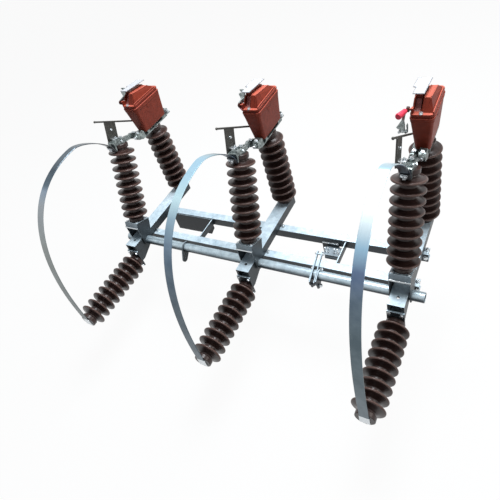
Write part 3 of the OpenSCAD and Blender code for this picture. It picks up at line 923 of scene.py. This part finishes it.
@dataclass
class ArcChamber(Assembly):
    """Oil-filled chamber with its lid and the bare tag on the lid."""

    floor_z: float = 0.571
    rim_z: float = 0.714
    floor: Rim = Rim((-0.022, 0.038, 0.262, 0.454))
    rim: Rim = Rim((-0.036, 0.052, 0.244, 0.463))
    mark: Outline = (
        (0.336, 0.683), (0.351, 0.683), (0.355, 0.690), (0.352, 0.700), (0.337, 0.700), (0.333, 0.690))
    ridge: Outline = ((0.259, DECK), (0.290, 0.789), (0.411, 0.772), (0.434, DECK))
    bead: Outline = (
        (0.2625, 0.7440), (0.2875, 0.7835), (0.2935, 0.7880), (0.4095, 0.7712), (0.4150, 0.7655),
        (0.4330, 0.7440))
    hump: Outline = ((0.306, 0.752), (0.310, 0.788), (0.412, 0.778), (0.434, DECK))
    right_wall: Outline = ((0.252, 0.741), (0.255, 0.7495), (0.275, 0.7515), (0.433, 0.7510), (0.443, 0.741))
    left_wall: Outline = (
        (0.262, 0.741), (0.265, 0.751), (0.279, 0.770), (0.294, 0.783), (0.322, 0.787), (0.326, 0.741))
    ear: Outline = ((0.249, 0.741), (0.270, 0.741), (0.266, 0.764), (0.250, 0.764))
    scoop: Outline = (
        (0.266, 0.7415), (0.278, 0.7465), (0.290, 0.755), (0.298, 0.765), (0.304, 0.776), (0.312, 0.7415))
    tag_front: Point = (0.0, 0.281, 0.810)
    tag_fall: float = 6.2
    plate: Outline = (
        (0, 0.029), (0, -0.008), (0.147, -0.008), (0.147, 0.042), (0.064, 0.042), (0.056, 0.029))
    backing: Outline = (
        (-0.003, 0.032), (-0.003, -0.011), (0.150, -0.011), (0.150, 0.045), (0.0615, 0.045), (0.0535, 0.032))

    def tank(self, phase: str, place: Matrix) -> None:
        """Builds the tapered tank with its lip and the moulder's round mark on its right wall."""
        shape = Shape(place)
        shape.block(*self.floor.slab(0.0, self.floor_z, self.rim_z), 0.003, 0.013, self.rim.sides)
        shape.block(*self.rim.slab(0.0015, self.rim_z - 0.009, self.rim_z + 0.002), 0.0012, 0.018)
        shape.block(*self.rim.slab(0.003, self.rim_z + 0.001, self.rim_z + 0.010), 0.0028, 0.019)
        shape.prism(self.mark, 0.0500, 0.003, 0.0012)
        shape.finish(f"tank_{phase}_look", COMPOUND, "frame", Slot.MOULDING, [f"tank_{phase}"])

    @staticmethod
    def heap(shape: Shape, outline: Outline, sides: Iterable[float], foot_xs: Iterable[float],
             foot_ys: Iterable[float]) -> None:
        """Adds a rounded heap on the deck: a side view between two sides, on a four-cornered foot."""
        walls = [(x, y, z) for x in sides for y, z in outline]
        shape.hull(walls + [(x, y, DECK - 0.001) for x in foot_xs for y in foot_ys], 0.0035)

    def lid(self, phase: str, place: Matrix) -> None:
        """Builds the lid: deck, ridge with its beads, hump, low side walls and the lever's ear and pin."""
        shape = Shape(place)
        shape.block(*self.rim.slab(-0.003, 0.7235, 0.733), 0.0005, 0.016)
        shape.block(*self.rim.slab(0.001, 0.731, DECK), 0.0032, 0.018)
        self.heap(shape, self.ridge, (0.007, 0.034), (0.004, 0.049), (0.259, 0.449))
        for x in (0.0092, 0.0325):
            for (y0, z0), (y1, z1) in zip(self.bead, self.bead[1:]):
                shape.rod((x, y0, z0), (x, y1, z1), 0.0030)
        self.heap(shape, self.hump, (-0.030, -0.001), (-0.032, 0.001), (0.302, 0.434))
        shape.prism(self.right_wall, 0.0485, 0.005, 0.0018, segments=3)
        shape.prism(self.left_wall, -0.0270, 0.0052, 0.0018, segments=3)
        shape.prism(self.ear, -0.028, 0.008, 0.0015)
        pin_y, pin_z = LEVER_PIN[1:]
        shape.rod((-0.052, pin_y, pin_z), (-0.028, pin_y, pin_z), 0.005)
        shape.finish(f"lid_{phase}_look", LID_COMPOUND, "frame", Slot.MOULDING, [f"lid_{phase}"])

    def lid_parts(self, phase: str, place: Matrix) -> None:
        """Builds the scooped foot of the hump, the tag's screws and the bolt on the deck."""
        foot = Shape(place)
        foot.prism(self.scoop, -0.0130, 0.0225, 0.0012, segments=3)
        # The scoop's paler compound is painted sheen.
        foot.finish(f"lid_scoop_{phase}", PALE_COMPOUND, "frame", Slot.MOULDING)
        screws = Shape(place)
        screws.bolt((0.0045, 0.2505, DECK), Axis.UP.value, 0.008)
        for y, top in ((0.345, 0.8055), (0.400, 0.7995)):
            screws.rod((-0.012, y, 0.776), (-0.012, y, top), 0.0025)
        screws.finish(f"lid_screws_{phase}", BRIGHT_ZINC, "frame", Slot.MOULDING)

    def tag(self, phase: str, place: Matrix) -> None:
        """Builds the bare tag, which falls to the back, with its grey edge."""
        fall = Matrix.Rotation(math.radians(-self.tag_fall), 4, "X")
        flat = Matrix.Rotation(math.radians(-90), 4, "Y")
        lie = place @ Matrix.Translation(self.tag_front) @ fall @ flat
        tag = Shape(lie)
        tag.prism(self.plate, 0.0, 0.0018, 0.0003, segments=1)
        tag.finish(f"bare_tag_{phase}", WHITE_PLATE, "frame", Slot.MOULDING)
        back = Shape(lie)
        back.prism(self.backing, -0.0010, 0.0022, 0.0002, segments=1)
        back.finish(f"tag_backing_{phase}", TAG_EDGE, "frame", Slot.MOULDING)

    def build_phase(self, phase: str, x: float) -> None:
        """Builds the chamber of one phase."""
        for step in (self.tank, self.lid, self.lid_parts, self.tag):
            step(phase, Matrix.Translation((x, 0, 0)))


@dataclass
class TripLever(Assembly):
    """Lever on the lid's pin with a red knob in front and a studded fork over the arcing rod."""

    arm_x: float = -0.054
    fork_y: float = -0.043
    knob_root: Point = (-0.050, -0.016, 0.003)
    knob_tip: Point = (-0.064, -0.070, 0.010)
    knob_radius: float = 0.013
    collar: Point = (-0.0012, -0.004, 0.0005)
    arm: Outline = (
        (-0.006, -0.002), (-0.030, -0.010), (-0.047, -0.018), (-0.047, -0.072), (-0.039, -0.072),
        (-0.039, -0.038), (-0.028, -0.030), (-0.004, -0.011))
    fork: Outline = (
        (-0.060, -0.024), (-0.048, -0.024), (-0.046, -0.040), (-0.046, -0.064), (-0.039, -0.060),
        (-0.041, -0.042), (-0.037, -0.032), (-0.034, -0.042), (-0.035, -0.074), (-0.064, -0.076),
        (-0.070, -0.066), (-0.065, -0.060), (-0.072, -0.060), (-0.079, -0.053), (-0.070, -0.040))
    studs: Outline = ((-0.054, -0.068), (-0.042, -0.070), (-0.068, -0.072))

    def hub(self, phase: str, place: Matrix, body: str) -> None:
        """Builds the hub on the pin and the root of the knob."""
        shape = Shape(place)
        shape.rod((HUB_X - 0.005, 0, 0), (HUB_X + 0.005, 0, 0), 0.011, edge=0.0012)
        shape.rod((HUB_X, -0.004, 0.000), self.knob_root, 0.0052, 0.0068)
        collar_end = Vector(self.knob_root) + Vector(self.collar)
        shape.rod(self.knob_root, tuple(collar_end), 0.0068)
        shape.finish(f"lever_hub_{phase}", LEVER_COMPOUND, body, Slot.KNOB)

    def lugs(self, phase: str, place: Matrix, body: str) -> None:
        """Builds the hook arm, the fork with its studs and the washers beside the hub."""
        shape = Shape(place)
        shape.prism(self.arm, self.arm_x, 0.0075, 0.0015)
        across = Matrix.Rotation(math.radians(-90), 4, "Z")
        shape.prism(self.fork, -self.fork_y, 0.0078, 0.0014, local=across)
        for x, z in self.studs:
            shape.rod((x, self.fork_y + 0.009, z), (x, self.fork_y - 0.009, z), 0.0035)
        for side in (-1, 1):
            near, far = (HUB_X - reach - 0.001 * side for reach in (0.0052, 0.0072))
            shape.rod((near, 0.0, 0.0), (far, 0.0, 0.0), 0.0075)
        shape.finish(f"lever_{phase}_look", GREY_CAST, body, Slot.KNOB, [f"lever_{phase}"])
        nuts = Shape(place)
        for x, z in self.studs:
            nuts.bolt((x, self.fork_y - 0.0042, z), Axis.FRONT.value, 0.0055)
        nuts.finish(f"lever_nuts_{phase}", BRIGHT_ZINC, body, Slot.KNOB)

    def knob(self, phase: str, place: Matrix, body: str) -> None:
        """Turns the red knob, wider towards its round front end."""
        root, tip = Vector(self.knob_root), Vector(self.knob_tip)
        length, r = (tip - root).length, self.knob_radius
        turn = Matrix.Translation(root) @ (tip - root).to_track_quat("Z", "Y").to_matrix().to_4x4()
        shape = Shape(place)
        profile = [(0, 0.001), (0.0085, 0.001), (0.0102, 0.0035), (r - 0.0008, length - 0.010),
                   (r, length - 0.005), (r - 0.0008, length - 0.0015), (r - 0.003, length + 0.001),
                   (0, length + 0.001)]
        shape.turned(profile, 40, turn)
        shape.finish(f"lever_knob_{phase}", RED_KNOB, body, Slot.KNOB)

    def build_phase(self, phase: str, x: float) -> None:
        """Builds the lever of one phase at its own rest angle."""
        turn = Matrix.Rotation(math.radians(-LEVER_TURN[phase]), 4, "X")
        for step in (self.hub, self.lugs, self.knob):
            step(phase, Matrix.Translation((x, *LEVER_PIN[1:])) @ turn, f"lever_{phase}")


# ---------------------------------------------------------------- studio

@dataclass
class Studio:
    """Pale floor, soft lamps and the camera."""

    eye: Point = (1.0936, -1.3144, 1.7268)
    right: Point = (0.8651, 0.4382, -0.2439)
    up: Point = (-0.1553, 0.6964, 0.7006)
    ahead: Point = (-0.4769, 0.5683, -0.6706)
    lens: float = 32.78
    shift: tuple[float, float] = (-0.0051, -0.0313)
    floor_drop: float = 0.30

    @staticmethod
    def seen(tree: Tree) -> Socket:
        """Returns 1 for what the camera, a reflection or a clear body sees."""
        path = add_node(tree, "LightPath")
        first = add_node(tree, "Math", {"operation": "MAXIMUM", 0: path.outputs["Is Camera Ray"],
                                        1: path.outputs["Is Glossy Ray"]})
        return add_node(tree, "Math", {"operation": "MAXIMUM", 0: first.outputs[0],
                                       1: path.outputs["Is Transmission Ray"]}).outputs[0]

    def floor(self) -> None:
        """Lays the white floor, which keeps a faint shadow."""
        part = bmesh.new()
        bmesh.ops.create_grid(part, x_segments=1, y_segments=1, size=40)
        level = CAD_BOX[0][2] - self.floor_drop
        bmesh.ops.translate(part, vec=(0, 0, level), verts=part.verts)
        data = bpy.data.meshes.new("floor")
        part.to_mesh(data)
        part.free()
        plane = bpy.data.objects.new("floor", data)
        bpy.context.scene.collection.objects.link(plane)
        material = bpy.data.materials.new("pale_floor")
        material.use_nodes = True
        tree = material.node_tree
        tree.nodes.clear()
        matt = add_node(tree, "BsdfDiffuse", {"Color": "#f2f3f4"})
        glow = add_node(tree, "Emission", {"Color": (1, 1, 1, 1), "Strength": 1.0})
        share = add_node(tree, "Math", {"operation": "MULTIPLY", 0: self.seen(tree), 1: 0.94})
        both = add_node(tree, "MixShader", {0: share.outputs[0], 1: matt.outputs[0], 2: glow.outputs[0]})
        add_node(tree, "OutputMaterial", {0: both.outputs[0]})
        data.materials.append(material)

    def sky(self) -> None:
        """Sets the plain surroundings: white to the eye, a dimmer dome for the light."""
        world = bpy.data.worlds.new("studio")
        world.use_nodes = True
        tree = world.node_tree
        tree.nodes.clear()
        dome = add_node(tree, "Background", {"Color": "#dfe8f0", "Strength": 0.24})
        white = add_node(tree, "Background", {"Color": (1, 1, 1, 1), "Strength": 1.0})
        both = add_node(tree, "MixShader", {0: self.seen(tree), 1: dome.outputs[0], 2: white.outputs[0]})
        add_node(tree, "OutputWorld", {0: both.outputs[0]})
        bpy.context.scene.world = world

    @staticmethod
    def lamp(name: str, at: Point, aim: Point, size: float, power: float, colour: str) -> None:
        """Hangs one soft square lamp.

        Args:
            name: name of the lamp.
            at: where it hangs.
            aim: point that it looks at.
            size: its side.
            power: its power in watts.
            colour: its colour.
        """
        data = bpy.data.lights.new(name, "AREA")
        data.size = size
        data.energy = power
        data.color = srgb(colour)[:3]
        lamp = bpy.data.objects.new(name, data)
        lamp.location = at
        lamp.rotation_euler = (Vector(aim) - Vector(at)).to_track_quat("-Z", "Y").to_euler()
        bpy.context.scene.collection.objects.link(lamp)

    def camera(self) -> None:
        """Sets the camera at its solved place."""
        data = bpy.data.cameras.new("view")
        data.lens = self.lens
        data.sensor_width = 36
        data.shift_x, data.shift_y = self.shift
        camera = bpy.data.objects.new("view", data)
        axes = Matrix((self.right, self.up, tuple(-c for c in self.ahead))).transposed().to_4x4()
        camera.matrix_world = Matrix.Translation(self.eye) @ axes
        bpy.context.scene.collection.objects.link(camera)
        bpy.context.scene.camera = camera

    def build(self) -> None:
        """Builds the whole studio."""
        self.camera()
        self.floor()
        self.sky()
        self.lamp("top_lamp", (0.5, 1.0, 3.3), (0, 0.05, 0.3), 1.8, 165, "#f6fbff")
        self.lamp("side_lamp", (3.3, 0.3, 1.6), (0.2, 0.1, 0.35), 1.4, 24, "#fffaf2")
        bpy.context.scene.view_settings.view_transform = "Standard"


def main() -> None:
    """Builds every sub-assembly in order."""
    logging.basicConfig(level=logging.INFO, format="%(message)s")
    Studio().build()
    for assembly in (FrameSteel, ShaftGear, PostInsulator, MovingContact, FixedContact, FlexibleBand,
                     ArcChamber, TripLever):
        assembly().build()


if __name__ == "__main__":
    main()
